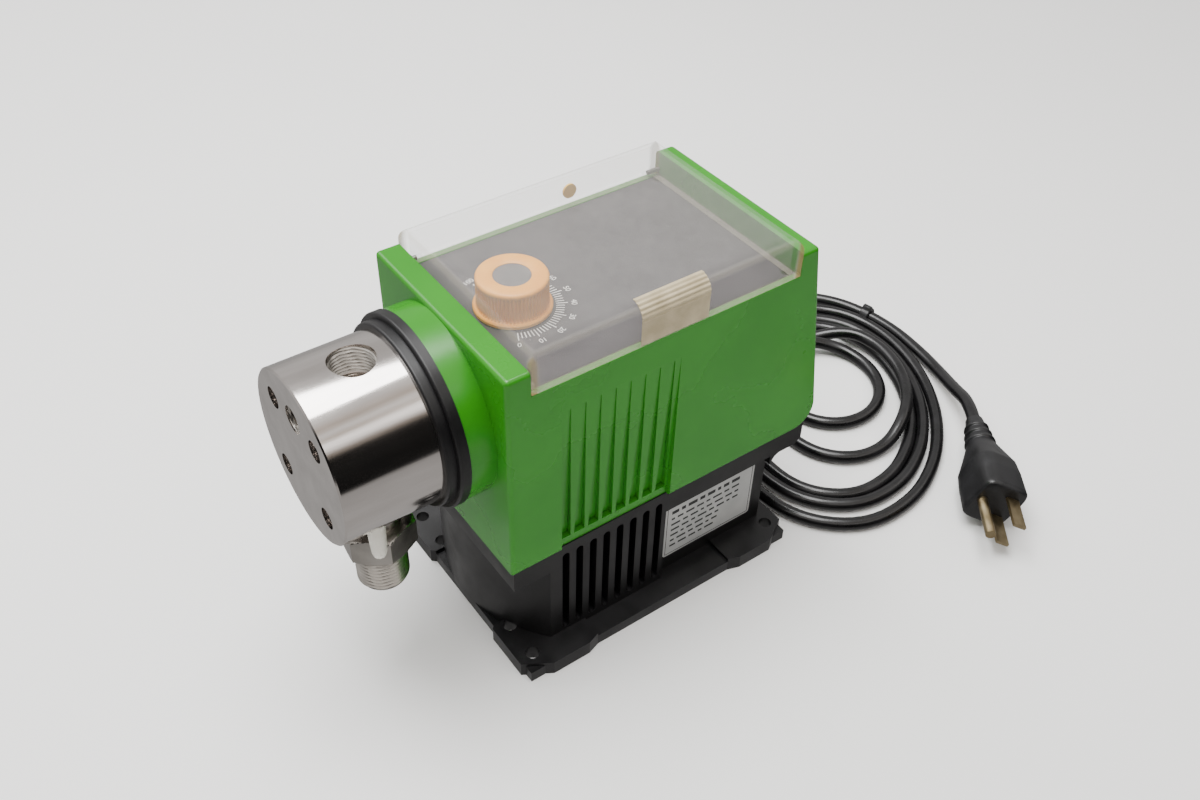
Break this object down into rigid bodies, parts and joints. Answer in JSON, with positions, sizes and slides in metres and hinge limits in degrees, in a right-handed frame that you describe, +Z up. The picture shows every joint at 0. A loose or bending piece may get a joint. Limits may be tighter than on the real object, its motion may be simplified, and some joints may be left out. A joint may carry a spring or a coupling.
{
  "type": "diaphragm dosing pump",
  "caption": "Motor-driven dosing pump with a hinged clear lid over its dial, a steel diaphragm head with suction and discharge ports, a louvred base and a coiled mains lead.",
  "frame": {"origin": "centre of the outer foot holes, on the underside of the foot plate", "axes": "+Z up, -Y out of the pump head, +X the side with the rating plate"},
  "size_m": [0.2064, 0.3561, 0.1669],
  "materials": {
    "green_shell": "satin moulded, slightly mottled",
    "black_base": "fine moulded grain",
    "panel_grey": "fine grain",
    "clear_lid": "clear, edges tinted by age",
    "yellow_plug": "gloss",
    "knob_cream": "satin",
    "grey_plastic": "satin",
    "stainless": "turned and polished",
    "white_plastic": "translucent",
    "label": "printed film",
    "rubber_black": "matte",
    "cord_black": "satin vinyl",
    "brass": "plated",
    "steel": "plain",
    "aluminium": "cast",
    "bronze": "sintered",
    "board_green": "lacquered laminate",
    "ceramic": "polished",
    "nylon": "plain"
  },
  "bodies": {
    "root": {"base_housing": "black_base", "board_components": "grey_plastic", "board_spacers": "nylon", "capacitor": "aluminium", "circuit_board": "board_green", "control_panel": "panel_grey", "cord_coil": "cord_black", "cord_gland": "cord_black", "cord_lead": "cord_black", "cord_tie": "rubber_black", "diaphragm": "rubber_black", "discharge_cage": "stainless", "discharge_seat": "stainless", "drain_nipple": "white_plastic", "fitting_seal": "rubber_black", "frame_screws": "steel", "gear_frame": "aluminium", "head_screws": "steel", "hinge_pins": "steel", "housing_screws": "steel", "inner_wires": "rubber_black", "mains_cord": "cord_black", "motor_screws": "steel", "motor_stator": "steel", "panel_screws": "steel", "plug_body": "cord_black", "plug_pins": "brass", "pump_head": "stainless", "rating_plate": "label", "return_spring": "steel", "shaft_bushes": "bronze", "speed_control": "grey_plastic", "suction_cage": "stainless", "suction_fitting": "stainless", "suction_seat": "stainless", "support_ring": "black_base", "tappet_guide": "bronze", "terminal_block": "nylon", "upper_housing": "green_shell"},
    "lid": {"clear_cover": "clear_lid", "cover_plug": "yellow_plug"},
    "knob": {"dial_knob": "knob_cream", "knob_cap": "grey_plastic", "dial_shaft": "steel"},
    "rotor": {"motor_rotor": "aluminium", "worm_shaft": "steel", "worm": "steel"},
    "cam": {"cam_shaft": "steel", "stroke_cam": "steel", "worm_wheel": "bronze"},
    "tappet": {"tappet_rod": "steel", "tappet_pad": "nylon", "diaphragm_core": "steel", "spring_collar": "steel"},
    "suction_valve": {"suction_ball": "ceramic"},
    "discharge_valve": {"discharge_ball": "ceramic"}
  },
  "joints": [
    {"name": "lid_hinge", "type": "hinge", "parent": "root", "child": "lid", "pos_m": [-0.0438, 0, 0.1515], "axis": [0, -1, 0], "range_deg": [0, 95]},
    {"name": "knob_turn", "type": "hinge", "parent": "root", "child": "knob", "pos_m": [0, -0.04, 0.15], "axis": [0, 0, 1], "range_deg": [-111, 111]},
    {"name": "rotor_spin", "type": "hinge", "parent": "root", "child": "rotor", "pos_m": [0.0085, 0.034, 0.06], "axis": [0, 0, 1], "range_deg": [0, 7200]},
    {"name": "cam_turn", "type": "hinge", "parent": "root", "child": "cam", "pos_m": [0, 0.01, 0.12], "axis": [1, 0, 0], "range_deg": [0, 180.01]},
    {"name": "tappet_slide", "type": "slide", "parent": "root", "child": "tappet", "axis": [0, -1, 0], "range_m": [0, 0.005], "deforming": ["return_spring", "diaphragm"]},
    {"name": "suction_ball_lift", "type": "slide", "parent": "root", "child": "suction_valve", "axis": [0, 0, 1], "range_m": [0, 0.002]},
    {"name": "discharge_ball_lift", "type": "slide", "parent": "root", "child": "discharge_valve", "axis": [0, 0, 1], "range_m": [0, 0.002]}
  ],
  "couplings": [
    {"joint": "cam_turn", "follows": "rotor_spin", "ratio": 0.025},
    {"joint": "tappet_slide", "follows": "rotor_spin", "m_per_rad": 0.000039785}
  ]
}
